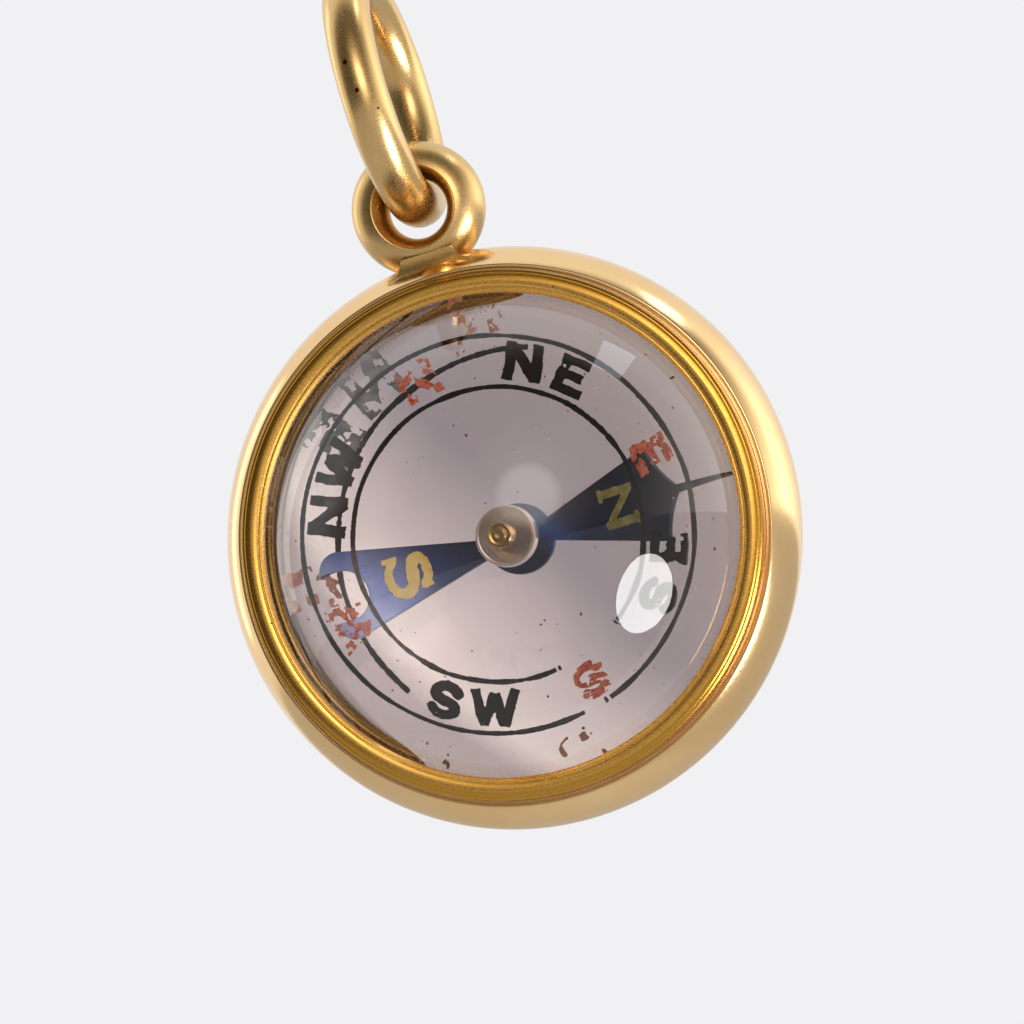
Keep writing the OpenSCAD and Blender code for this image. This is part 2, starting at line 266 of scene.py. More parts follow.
# Gold alloy, drawn or turned and then polished. Wear leaves fine scratches, a
# slow drift of tint and spots of dirt, and a tool leaves rings as fine as its cut.
def goldMaterial(name, look):
    material, add, shader = newMaterial(name)
    place = objectPlace(add)
    drift = add("TexNoise", {"Scale": 1 / (look["driftSize"] * mm), "Detail": 3, "Vector": place})
    pale, deep = (linear(colour) for colour in look["tints"])
    colour = add("Mix", {"A": pale, "B": deep, "Factor": drift}, data_type="RGBA")
    stretched = add("Mapping", {"Rotation": look["scratchTurn"], "Vector": place,
                                "Scale": (1, 1, look["scratchStretch"])})
    scratch = add("TexNoise", {"Scale": 1 / (look["scratchSize"] * mm), "Detail": 5,
                               "Vector": stretched})
    height = scratch
    if look["turnedSize"]:
        flat = add("VectorMath", {0: place, 1: (1, 0, 1)}, operation="MULTIPLY")
        radius = add("VectorMath", {0: flat}, operation="LENGTH")
        rings = add("TexNoise", {"Scale": 1 / (look["turnedSize"] * mm), "Detail": 2,
                                 "W": radius}, noise_dimensions="1D")
        height = add("Mix", {"Factor": look["turnedShare"], "A": scratch, "B": rings})
    # Painted shade: beyond a radius the colour turns darker, standing for a dark reflection on
    # the outer slope
    if look["outerColour"]:
        outer = add("MapRange", {"From Min": look["shadeFrom"] * mm,
                                 "From Max": look["shadeTo"] * mm, "Value": radius})
        colour = add("Mix", {"A": colour, "B": linear(look["outerColour"]), "Factor": outer},
                     data_type="RGBA")
    for x, y, z, size in look["spots"]:
        size = size * mm
        away = add("VectorMath", {0: place, 1: (x * mm, y * mm, (z - caseZ) * mm)},
                   operation="DISTANCE")
        ragged = add("Math", {0: scratch, 1: size * look["spotRagged"], 2: away},
                     operation="MULTIPLY_ADD")
        dark = add("MapRange", {
            "Value": ragged, "From Min": size * look["spotEdge"][0],
            "From Max": size * look["spotEdge"][1], "To Min": 1, "To Max": 0})
        colour = add("Mix", {"A": colour, "B": linear(look["dirt"]), "Factor": dark},
                     data_type="RGBA")
    finish(add, shader, look, colour, glossFrom(add, scratch, look), height)
    return material


# Each spot of dirt has its place and its size. A turned size of 0 means no
# rings, and an outer shade colour is painted shade beyond a radius: the
# outer slope made darker as if it reflected a dark room.
wornGold = dict(
    driftSize=2.6, metallic=1, scratchSize=0.12, scratchStretch=4, scratchTurn=(0.5, 0.4, 0.2),
    span=(0.3, 0.7), turnedSize=0, bump=0.14, bumpDeep=0.008, outerColour=None,
    spots=[], spotEdge=(1.15, 1.45), spotRagged=0.8, dirt="#6A3018")
fineTurned = dict(wornGold, turnedSize=0.03, turnedShare=0.6, scratchSize=0.08, bumpDeep=0.004)
goldLooks = {
    "bandGold": dict(
        wornGold, tints=("#F6D6A2", "#EEC486"), rough=(0.12, 0.22), bump=0.09,
        turnedSize=0.09, turnedShare=0.4,
        spots=[(-7.25, -0.9, -9.3, 0.05), (-8.9, -1.4, -13.4, 0.03)]),
    "loopGold": dict(wornGold, tints=("#E4C288", "#D2AC6C"), rough=(0.24, 0.38)),
    "ringGold": dict(
        wornGold, tints=("#E8C68C", "#D6B070"), rough=(0.2, 0.34), bump=0.2,
        spots=[(-0.19, -4.65, 0.86, 0.1), (-0.05, -4.75, -0.19, 0.09), (-0.36, -4.58, 0.3, 0.06),
               (0.44, -4.52, -0.97, 0.05)]),
    "bezelGold": dict(
        wornGold, tints=("#F3C26A", "#E8B154"), rough=(0.18, 0.32), bump=0.4,
        bumpDeep=0.01, turnedSize=0.11, turnedShare=0.75,
        # painted shade on the bezel's outer slope, from 8.7 mm outwards
        outerColour="#C8943E", shadeFrom=8.7, shadeTo=8.82,
        spots=[(-8.5, -2.4, -16.5, 0.05), (-8.1, -2.42, -18.7, 0.035),
               (4.15, -2.43, -8.35, 0.035)]),
    "pivotGold": dict(
        fineTurned, tints=("#F0D48C", "#E2C070"), rough=(0.12, 0.22), turnedShare=0.7),
    "innerGilt": dict(
        wornGold, tints=("#F2E6C8", "#E4D2A4"), rough=(0.6, 0.75),
        turnedSize=0.06, turnedShare=0.6),
    "capSteel": dict(
        fineTurned, tints=("#FCFAF6", "#F0ECE2"), rough=(0.08, 0.16), bump=0.1,
        metallic=0.8),
    "staffSteel": dict(
        fineTurned, tints=("#B8B8BC", "#9A9AA0"), rough=(0.15, 0.25), bump=0.1),
}
gold = {name: goldMaterial(name, look) for name, look in goldLooks.items()}

# Old crown glass, ground and polished: clear with a faint lilac-grey tint,
# and wiping scratches so fine that they only soften a reflection
glassLook = dict(tint="#D6CDD0", refraction=1.5, rough=(0.0, 0.03), span=(0.55, 0.75),
                 scratchSize=0.5, scratchStretch=6, scratchTurn=0.7)


def glassMaterial(look):
    material, add, shader = newMaterial("crownGlass")
    place = objectPlace(add, (1, 1, look["scratchStretch"]), (0, look["scratchTurn"], 0))
    scratch = add("TexNoise", {"Scale": 1 / (look["scratchSize"] * mm), "Detail": 4,
                               "Vector": place})
    fill(shader, {"Base Color": linear(look["tint"]), "Transmission Weight": 1,
                  "IOR": look["refraction"], "Roughness": glossFrom(add, scratch, look)})
    return material


glass = glassMaterial(glassLook)

# Oil paint laid on by hand: thicker and thinner strokes show as a cloudy
# change of colour, with a low sheen. Dust, paper and cement are alike.
filmLook = dict(span=(0.35, 0.68), bump=0.4, bumpDeep=0.01, metallic=0, specular=0.2)
paintLooks = {  # colour where thick and where thin, size of the clouds, roughness
    "blackPaint": ("#0B0908", "#1E1A18", 0.25, 0.5),
    "redPaint": ("#B4482C", "#DA8260", 0.12, 0.6),
    # The rear dial's paint is greyer and paler than the front's: partly paint worn thin, partly a
    # painted veil standing for the reflections and blur it is seen through
    "wornVeiledBlack": ("#3C4240", "#7E8480", 0.3, 0.6),
    "wornVeiledRed": ("#B8785E", "#D8A48C", 0.2, 0.6),
    "giltPaint": ("#E8CC6C", "#F4E08C", 0.2, 0.5),
    "olivePaint": ("#8A8844", "#B4B06A", 0.25, 0.5),
    "dust": ("#3A1D16", "#A04838", 1.2, 0.9),
    "paleDust": ("#D8D4CC", "#F2F0EC", 1.2, 0.9),
    "sealPaper": ("#E4DAC0", "#F2EBD8", 0.3, 0.8),
    "cement": ("#F0EBDC", "#FAF6EA", 0.4, 0.8),
    "rubyJewel": ("#7A0F22", "#A81E36", 0.3, 0.1),
}


def paintMaterial(name, thick, thin, cloudSize, rough):
    material, add, shader = newMaterial(name)
    cloud = add("TexNoise", {"Scale": 1 / (cloudSize * mm), "Detail": 5,
                             "Vector": objectPlace(add)})
    tint = setRamp(add("ValToRGB", {"Fac": cloud}), zip(filmLook["span"], (thick, thin)))
    fill(shader, {"Specular IOR Level": filmLook["specular"]})
    finish(add, shader, filmLook, tint, rough, cloud)
    return material


paint = {name: paintMaterial(name, *look) for name, look in paintLooks.items()}

# Blued spring steel: the heat's oxide runs from slate through navy to a pale
# periwinkle along the blade, over fine lengthwise polishing lines. The run is
# tilted across the blade, so the lower edge comes out paler: partly the oxide's
# own colour, partly a painted sheen.
bladeLook = dict(
    turn=1, halfLong=4.6, cloudSize=0.9, swing=1.2, slant=0.9, metallic=0.55, grain=0.12,
    stretch=0.12, span=(0, 1), rough=(0.22, 0.38), bump=0.3, bumpDeep=0.006,
    stops=[(0.0, "#9CB2DE"), (0.12, "#5C7ABA"), (0.22, "#2A467E"), (0.36, "#24365A"),
           (0.5, "#1B2438"), (0.575, "#2A58A4"), (0.64, "#2A3A62"), (0.8, "#2E3850"),
           (1.0, "#353C4C")])


def bluedMaterial(look):
    material, add, shader = newMaterial("bluedSteel")
    along = objectPlace(add, turn=(0, np.radians(look["turn"]), 0))
    split = add("SeparateXYZ", {0: along})
    cloud = add("TexNoise", {"Scale": 1 / (look["cloudSize"] * mm), "Detail": 4, "Vector": along})
    swing = add("Math", {0: cloud, 1: look["swing"] * mm, 2: -look["swing"] / 2 * mm},
                operation="MULTIPLY_ADD")
    # Painted sheen, in part: the colour's run leans across the blade so the lower edge is paler
    slant = add("Math", {0: split.outputs["Z"], 1: look["slant"], 2: swing},
                operation="MULTIPLY_ADD")
    total = add("Math", {0: split.outputs["X"], 1: slant}, operation="ADD")
    share = add("MapRange", {"From Min": -look["halfLong"] * mm,
                             "From Max": look["halfLong"] * mm, "Value": total})
    heat = setRamp(add("ValToRGB", {"Fac": share}), look["stops"])
    lines = add("Mapping", {"Scale": (look["stretch"], 1, 1), "Vector": along})
    grain = add("TexNoise", {"Scale": 1 / (look["grain"] * mm), "Detail": 4, "Vector": lines})
    finish(add, shader, look, heat, glossFrom(add, grain, look), grain)
    return material


blued = bluedMaterial(bladeLook)
print("materials made")


# Case band
band = dict(outside=10.0, round=2.36, halfWide=1.7, rib=0.83, grooveOut=9.177, grooveIn=9.057,
            grooveDeep=0.12, bore=8.977, inside=8.497, edgeSoft=0.08, steps=45, count=360)
bandMiddle = band["outside"] - band["round"]


# An arc for the round outside, then on each side a shoulder, the groove round
# the bezel, and the counterbore down to the rib
def bandSection(b):
    edge = np.degrees(np.arcsin(b["halfWide"] / b["round"]))
    outside = arc(bandMiddle, 0, b["round"], -edge, edge, b["steps"])
    outside[[0, -1], 2] = b["edgeSoft"]
    wide, floor = b["halfWide"], b["halfWide"] - b["grooveDeep"]
    half = [(b["grooveOut"], wide, 0.02), (b["grooveOut"], floor, 0.03),
            (b["grooveIn"], floor, 0.03), (b["grooveIn"], wide, 0.01), (b["bore"], wide, 0.01),
            (b["bore"], b["rib"], 0.02), (b["inside"], b["rib"], 0.03)]
    return rounded(np.vstack([outside, withMirror(half)]))


makePiece("caseBand", *turned(bandSection(band), band["count"]), gold["bandGold"],
          "case", "rolled_gold_band", ["case_band"])


# Height of the band's round outside above the case's middle, at a place
# across it and a distance from its middle plane
def bandTop(x, h):
    outer = bandMiddle + np.sqrt(np.maximum(band["round"] ** 2 - h ** 2, 0))
    return np.sqrt(np.maximum(outer ** 2 - x ** 2, 0))


# Bezels. Each turned line has its radius, depth and width.
bezel = dict(
    outer=9.057, inner=8.277, crownMiddle=1.85, crownRound=0.6, base=1.72, skirtOut=8.957,
    skirtIn=8.497, skirtEnd=0.85, domeMiddle=-1.932, domeRound=9.248,
    lines=[(8.447, 0.035, 0.03), (8.94, 0.015, 0.025)], crownSteps=70, lipSteps=8, soft=0.03,
    count=360)


# A crowned bead with fine turned lines, a lip over the dome and a skirt. The
# crown is a circle's arc, less a narrow bell-shaped dip for each line.
def bezelSection(b):
    r = np.linspace(b["outer"], b["inner"], b["crownSteps"])
    middle = (b["outer"] + b["inner"]) / 2
    crown = b["crownMiddle"] + np.sqrt(b["crownRound"] ** 2 - (r - middle) ** 2)
    for at, deep, wide in b["lines"]:
        crown = crown - deep * np.exp(-((r - at) / wide) ** 2)
    top = np.stack([r, crown, 0 * r], -1)
    top[[0, -1], 2] = b["soft"]
    start, end = np.degrees(np.arccos(np.array([b["inner"], b["skirtIn"]]) / b["domeRound"]))
    lip = arc(0, b["domeMiddle"], b["domeRound"], start, end, b["lipSteps"])
    skirt = [(b["skirtIn"], b["skirtEnd"], b["soft"]), (b["skirtOut"], b["skirtEnd"], b["soft"]),
             (b["skirtOut"], b["base"], 0.01), (b["outer"], b["base"], 0.02)]
    return rounded(np.vstack([top, lip, skirt]))


bothSides("Bezel", bezelSection(bezel), bezel["count"], gold["bezelGold"], "bezel_gold", "_bezel")


# Crystals
crystal = dict(domeRound=9.218, domeMiddle=-1.932, edge=8.447, flat=1.4, bevel=0.06,
               holeRound=0.346, holeEnd=1.706, count=256, domeSteps=130)


# From the dome's top down its sphere, down the ground edge, across the flat
# and up the blind hole for the pivot cup
def crystalSection(c):
    edge = np.degrees(np.arccos(c["edge"] / c["domeRound"]))
    dome = arc(0, c["domeMiddle"], c["domeRound"], 90, edge, c["domeSteps"])
    flat = [(c["edge"], c["flat"], c["bevel"]), (c["holeRound"], c["flat"], 0.01),
            (c["holeRound"], c["holeEnd"], 0.01), (0, c["holeEnd"], 0)]
    return rounded(np.vstack([dome, flat]))


# Clear glass lets the lamps' light straight through to the dial and the needle
for piece in bothSides("Crystal", crystalSection(crystal), crystal["count"], glass, "crystal",
                       "_crystal", poles=True):
    piece.visible_shadow = False
print("case, bezels and crystals made")


# Rings inside the case
spacer = (8.447, 7.947, -1.3, 1.3, 0.03)  # outer and hole radius, low, high, corners' round
pairedRings = {  # the same sizes, then steps, material, slot and node; cement stands for no node
    "Seal": (8.447, 7.947, 1.3, 1.395, 0.02, 256, "sealPaper", "seal", "_seal"),
    "Jewel": (0.228, 0.1, 1.22, 1.5, 0.03, 48, "rubyJewel", "jewel", "_jewel"),
    "Cement": (8.49, 8.453, 1.42, 1.69, 0.01, 192, "cement", "seal", None),
}


def flatSection(out, hole, low, high, soft):
    corners = ((out, low), (out, high), (hole, high), (hole, low))
    return rounded([(*corner, soft) for corner in corners], steps=4)


makePiece("spacerRing", *turned(flatSection(*spacer), 256), gold["innerGilt"], "case",
          "gilt_inner_ring", ["spacer_ring"])
for name, (*sizes, count, look, slot, node) in pairedRings.items():
    bothSides(name, flatSection(*sizes), count, paint[look], slot, node)

# Turned cups: the closed end has a pip, a ridge, a groove and a step, then
# come the outside, the rim with a small round, the bore and its floor
cup = dict(
    out=0.34, hole=0.23, near=1.1, far=1.7, floor=1.5, pip=(0.07, 0.03, 0.025),
    ridge=(0.1, 0.15), groove=0.19, ledge=0.06, sink=0.02, step=0.29, stepHigh=1.67,
    edgeDrop=0.05, soft=0.02, count=72)


def cupSection(c):
    pipWide, pipSink, pipEdge = c["pip"]
    sunk, soft = c["stepHigh"] - c["sink"], c["soft"]
    return rounded([
        (0, c["far"] - pipSink, 0), (pipWide, c["far"] - pipEdge, soft),
        (c["ridge"][0], c["far"], soft), (c["ridge"][1], c["far"], soft),
        (c["groove"], sunk, soft), (c["step"] - c["ledge"], sunk, soft),
        (c["step"], c["stepHigh"], 0.01), (c["out"], c["far"] - c["edgeDrop"], soft),
        (c["out"], c["near"], 0.03), (c["hole"], c["near"], soft),
        (c["hole"], c["floor"], soft), (0, c["floor"], 0)])


bothSides("PivotCup", cupSection(cup), cup["count"], gold["pivotGold"], "pivot_brass",
          "_pivot_cup", poles=True)


# Paint
# A thin film that is there wherever its field is above zero: each square of
# the grid is cut along the line where the field crosses zero, and the cuts
# get walls. A patch has the field, the places of its grid points across and
# up the plane, and whether its first direction closes on itself.
def filmFaces(field, wrap):
    rows, columns = field.shape
    period = rows - 1 if wrap else rows
    i, j = np.meshgrid(np.arange(rows - 1), np.arange(columns - 1), indexing="ij")
    corner = [(i, j), (i + 1, j), (i + 1, j + 1), (i, j + 1)]
    size = rows * columns
    inside = [field[a, b] > 0 for a, b in corner]
    code = sum(flag.astype(int) << k for k, flag in enumerate(inside))
    number = [(a % period) * columns + b for a, b in corner]
    edge = [size + number[0], 2 * size + number[1], size + number[3], 2 * size + number[0]]
    faces, walls = [], []
    for case in range(1, 16):
        cells = code == case
        if not cells.any():
            continue
        ring, cuts = [], []
        for k in range(4):
            here, there = case >> k & 1, case >> (k + 1) % 4 & 1
            if here:
                ring.append(number[k][cells])
            if here != there:
                ring.append(edge[k][cells])
                cuts.append((here, edge[k][cells]))
        faces.append(np.stack(ring, -1))
        if cuts and not cuts[0][0]:
            cuts = cuts[1:] + cuts[:1]
        for k in range(0, len(cuts), 2):
            walls.append(np.stack([cuts[k][1], cuts[k + 1][1]], -1))
    return faces, np.vstack(walls)


# The grid's points, then the cuts towards the next point in each direction
def filmPoints(field, *places, short=0.02):
    def crossing(place, axis):
        ahead = np.roll(field, -1, axis)
        share = field / np.where(field == ahead, 1, field - ahead)
        return place + (np.roll(place, -1, axis) - place) * np.clip(share, short, 1 - short)
    return np.stack([np.concatenate([place, crossing(place, 0), crossing(place, 1)], axis=None)
                     for place in places], -1)


def filmPiece(name, patches, near, far, material, body, slot, nodes=()):
    points, groups, total = [], {}, 0
    for field, across, up, wrap in patches:
        flat = filmPoints(field, across, up)
        faces, walls = filmFaces(field, wrap)
        used = np.unique(np.concatenate([f.ravel() for f in faces]))
        short = np.zeros(len(flat), int)
        short[used] = np.arange(len(used))
        count = len(used)
        for face in faces:
            face = short[face] + total
            groups.setdefault(face.shape[1], []).extend([face, face[:, ::-1] + count])
        walls = short[walls] + total
        groups.setdefault(4, []).append(
            np.stack([walls[:, 1], walls[:, 0], walls[:, 0] + count, walls[:, 1] + count], -1))
        flat = flat[used]
        for y in (near, far):
            points.append(np.stack([flat[:, 0], np.full(count, float(y)), flat[:, 1]], -1))
        total += 2 * count
    return makePiece(name, np.vstack(points), [np.vstack(g) for g in groups.values()],
                     material, body, slot, nodes)


# How far a point lies inside the nearest stroke. A stroke is a straight bar
# with square ends, or with round ones where its last value is true.
def strokeField(a, b, strokes):
    field = np.full(a.shape, -1.0)
    for x0, y0, x1, y1, half, isRound in strokes:
        dx, dy = x1 - x0, y1 - y0
        length = np.hypot(dx, dy)
        along = ((a - x0) * dx + (b - y0) * dy) / length
        across = np.abs((a - x0) * dy - (b - y0) * dx) / length
        beyond = np.maximum(np.maximum(-along, along - length), 0)
        square = np.minimum(half - across, np.minimum(along, length - along))
        bar = half - np.hypot(across, beyond) if isRound else square
        field = np.maximum(field, bar)
    return field


# The spine of an S: two parts of ellipses that meet at its waist, the upper
# one topShare times as large as the lower, from a thin stroke to a thick waist
def curvedSpine(wide, thin, thick, topShare=1.0, count=15, sweep=248, waistLong=0.26):
    low = (1 - 2 * thin) / (2 + 2 * topShare)
    high, waist = topShare * low, thin + 2 * low
    across = wide / 2 - (thin + thick) / 2
    upper = np.radians(np.linspace(270 - sweep, 270, count))
    lower = np.radians(np.linspace(90, 90 - sweep, count))
    x = wide / 2 + across * np.concatenate([(1 + topShare) / 2 * np.cos(upper),
                                            np.cos(lower)[1:]])
    y = waist + np.concatenate([high + high * np.sin(upper), -low + low * np.sin(lower)[1:]])
    half = thin + (thick - thin) * np.exp(-((y - waist) / waistLong) ** 2)
    ends = np.column_stack([x[:-1], y[:-1], x[1:], y[1:]])
    return [(*p, h, True) for p, h in zip(ends.tolist(), half.tolist())]


def bars(half, *lines):
    return [(*line, half, False) for line in lines]


blockLetters = {  # a unit high: the width, then strokes of half a width from end to end
    "N": (0.88, bars(0.125, (0.13, 0, 0.13, 1), (0.75, 0, 0.75, 1), (0.13, 0.93, 0.75, 0.07))),
    "E": (0.72, bars(0.115, (0.14, 0, 0.14, 1), (0, 0.115, 0.72, 0.115), (0, 0.5, 0.62, 0.5),
                     (0, 0.885, 0.7, 0.885))),
    "S": (0.78, curvedSpine(0.78, 0.13, 0.135)),
    "W": (1.14, bars(0.115, (0.12, 1, 0.34, 0.04), (0.34, 0.04, 0.57, 0.9),
                     (0.57, 0.9, 0.8, 0.04), (0.8, 0.04, 1.02, 1))),
}
serifLetters = {
    "N": (1.2, bars(0.115, (0.17, 0.03, 0.17, 0.97), (1.03, 0.03, 1.03, 0.97))
          + bars(0.09, (0.13, 0.95, 1.07, 0.05))
          + bars(0.055, (0.0, 0.06, 0.38, 0.06), (0.84, 0.94, 1.2, 0.94),
                 (0.04, 0.94, 0.2, 0.94))),
    "S": (0.92, curvedSpine(0.92, 0.09, 0.125, 0.62)
          + bars(0.045, (0.76, 0.7, 0.76, 0.96), (0.07, 0.04, 0.07, 0.36))),
}
brush = dict(margin=0.14, shake=0.022, shakeGrain=0.6, rough=0.012, roughGrain=0.12,
             flakeGrain=0.32, chip=0.45, chipGrain=0.1, flakeEdge=0.08)


# One painted letter: its strokes on a grid, shaken a little as a hand does,
# and flaked where a second unevenness rises above keep
def letterField(letter, height, spacing, seed, keep, shake=brush["shake"]):
    wide, strokes = letter
    a, b = np.meshgrid(*(np.arange(-brush["margin"], end + brush["margin"], spacing / height)
                         for end in (wide, 1)), indexing="ij")
    moved = [place + shake * uneven(a, b, brush["shakeGrain"], seed + k)
             for k, place in enumerate((a, b))]
    field = (strokeField(*moved, strokes)
             + brush["rough"] * uneven(a, b, brush["roughGrain"], seed + 2))
    flake = (uneven(a, b, brush["flakeGrain"], seed + 3)
             + brush["chip"] * uneven(a, b, brush["chipGrain"], seed + 4))
    field = np.minimum(field, (keep - flake) * brush["flakeEdge"])
    edge = np.ones(field.shape, bool)
    edge[1:-1, 1:-1] = False
    return np.where(edge, -0.01, field) * height, (a - wide / 2) * height, (b - 0.5) * height


# A circle has its radius, half its width and a seed. A break has its circle's
# radius, its middle and half its length in degrees.
dial = dict(letterHeight=1.28, letterMiddle=4.95, pairSpread=8.4, spacing=0.026, near=1.37,
            far=1.395, circleSteps=900, lineSteps=15, wander=0.02, swell=0.22, rough=0.012,
            chip=0.06, fade=7, fadeEdge=0.012,
            circles={-1: [(4.1, 0.074, 11), (5.8, 0.084, 12)],
                     1: [(4.25, 0.06, 11), (5.8, 0.06, 12)]},
            breaks={-1: [(4.1, 161, 11), (4.1, 148, 3), (5.8, 168, 3.5)],
                    1: [(5.8, 60, 4), (4.25, 235, 111)]})
frontMarks = {  # clockwise from the loop: angle, and how high its flakes must rise to show
    "N": (-12.6, -0.05), "NE": (31.9, 1.5), "E": (78.4, 0.55), "SE": (119.4, 1.05),
    "S": (164.4, 0.35), "SW": (207.4, 1.6), "W": (256.4, 0.05), "NW": (301.4, 1.5)}
rearMarks = {
    "N": (-1, -0.35), "NE": (38, 0.45), "E": (85, 0.0), "SE": (129, -1.15),
    "S": (175, -0.7), "SW": (220, -1.15), "W": (263, -1.2), "NW": (310, -1.1)}


# Patches of the marks of one colour: single letters are red, pairs black, and
# the southern ones have their tops inwards. Seen from its own side each dial
# reads the right way round, so the rear one is laid out mirrored.
def dialLetters(marks, side, wantRed, seed):
    patches = []
    for k, (text, (angle, keep)) in enumerate(marks.items()):
        if (len(text) == 1) != wantRed:
            continue
        sign = -1 if "S" in text else 1
        for m, character in enumerate(text):
            field, a, b = letterField(blockLetters[character], dial["letterHeight"],
                                      dial["spacing"], seed + 10 * k + 50 * m, keep)
            shift = (m - (len(text) - 1) / 2) * 2 * dial["pairSpread"] * sign
            turn = np.radians(angle + shift)
            out, along = dial["letterMiddle"] + sign * b, sign * a
            x = out * np.sin(turn) + along * np.cos(turn)
            z = out * np.cos(turn) - along * np.sin(turn)
            patches.append((field, -side * x, z + caseZ, False))
    return patches


# A hand-drawn circle: its radius and width wander slowly, and it thins out
# to nothing at each break
def dialCircle(radius, half, seed, side):
    around = np.linspace(0, 2 * np.pi, dial["circleSteps"] + 1)
    offset = np.linspace(-2 * half, 2 * half, dial["lineSteps"])
    t, d = np.meshgrid(around, offset, indexing="ij")
    x, z = np.sin(t), np.cos(t)
    wide = (half * (1 + dial["swell"] * uneven(x, z, 0.22, seed + 1))
            + dial["rough"] * uneven(5 * x, 5 * z, 0.12, seed + 2))
    field = wide - np.abs(d - dial["wander"] * uneven(x, z, 0.5, seed))
    chips = dial["chip"] * uneven(5 * x, 5 * z, 0.15, seed + 3)
    for r, angle, spread in dial["breaks"][side]:
        if r == radius:
            beyond = np.abs((np.degrees(t) - angle + 180) % 360 - 180) - spread
            worn = np.where(beyond < dial["fade"], dial["fadeEdge"] * beyond + chips, 1)
            field = np.minimum(field, np.where(beyond < 0, -0.02, worn))
    field[:, [0, -1]] = -0.01
    return field, -side * (radius + d) * x, (radius + d) * z + caseZ, True


# The rear dial takes the greyed paints: partly worn, partly a painted veil of reflection
for side, marks, seed, black, red in ((-1, frontMarks, 100, "blackPaint", "redPaint"),
                                      (1, rearMarks, 700, "wornVeiledBlack", "wornVeiledRed")):
    circles = [dialCircle(radius, half, seed + k, side)
               for radius, half, k in dial["circles"][side]]
    for name, patches, colour, nodes in (
            ("DialCircles", circles, "blackPaint", [sideNames[side] + "_dial"]),
            ("BlackLetters", dialLetters(marks, side, False, seed), black, ()),
            ("RedLetters", dialLetters(marks, side, True, seed + 5), red, ())):
        filmPiece(sideNames[side] + name, patches, side * dial["near"], side * dial["far"],
                  paint[colour], "case", "dial_paint", nodes)
print("dials painted")


# Needle
needle = dict(
    turn=1, hub=0.84, waist=0.03, northFlare=18.2, southFlare=13.4, northCorner=3.57,
    northPoint=0.62, braceRound=2.4, spikeLong=1.4, spikeWide=0.2, spikeEnd=0.1, southEnd=4.89,
    notch=0.6, notchDeep=1.08, prongRound=0.5, hole=0.15, front=0.295, back=0.445, bevel=0.02,
    arcSteps=40, prongSteps=14, notchSteps=20, boreSteps=48)


# Distance along the blade at which a straight edge of this slope meets the hub
def hubMeet(n, slope):
    square = 1 + slope ** 2
    return (np.sqrt(n["hub"] ** 2 * square - n["waist"] ** 2) - n["waist"] * slope) / square


# Turns places along and across the blade into x and z
def onNeedle(along, across):
    t = np.radians(needle["turn"])
    return (along * np.cos(t) - across * np.sin(t),
            along * np.sin(t) + across * np.cos(t) + caseZ)


# The blade's outline, north along +X: one half runs from the end of the spike
# round to the floor of the south notch, and the other is its mirror image
def bladeOutline(n):
    north, south = np.tan(np.radians([n["northFlare"], n["southFlare"]]))
    corner = np.array([n["northCorner"], n["waist"] + n["northCorner"] * north])
    point = np.array([n["northCorner"] + n["northPoint"], 0])
    chord = point - corner
    stand = np.sqrt((n["braceRound"] / np.linalg.norm(chord)) ** 2 - 0.25)
    middle = (corner + point) / 2 + stand * np.array([-chord[1], chord[0]])
    start, end = (np.degrees(np.arctan2(*(p - middle)[::-1])) % 360 for p in (point, corner))
    brace = arc(*middle, n["braceRound"], start, end, n["arcSteps"])
    tip = point[0] + n["spikeLong"]
    spike = np.interp(brace[:, 0], [corner[0], tip], [n["spikeWide"] / 2, n["spikeEnd"] / 2])
    hubStart = np.degrees(np.arccos(hubMeet(n, north) / n["hub"]))
    hubEnd = 180 - np.degrees(np.arccos(hubMeet(n, south) / n["hub"]))
    prong = n["southEnd"] - n["prongRound"]
    prongWide = n["waist"] + prong * south - n["prongRound"] * np.hypot(1, south)
    floor = n["notchDeep"] - n["notch"] - n["southEnd"]
    half = np.concatenate([
        [(tip, n["spikeEnd"] / 2, 0)], brace[brace[:, 1] > spike],
        arc(0, 0, n["hub"], hubStart, hubEnd, n["arcSteps"]),
        arc(-prong, prongWide, n["prongRound"], 90 - n["southFlare"], 180, n["prongSteps"]),
        [(-n["southEnd"], n["notch"], 0)],
        arc(floor, 0, n["notch"], 90, 0, n["notchSteps"])])[:, :2]
    return np.concatenate([half, (half * [1, -1])[-2::-1]])


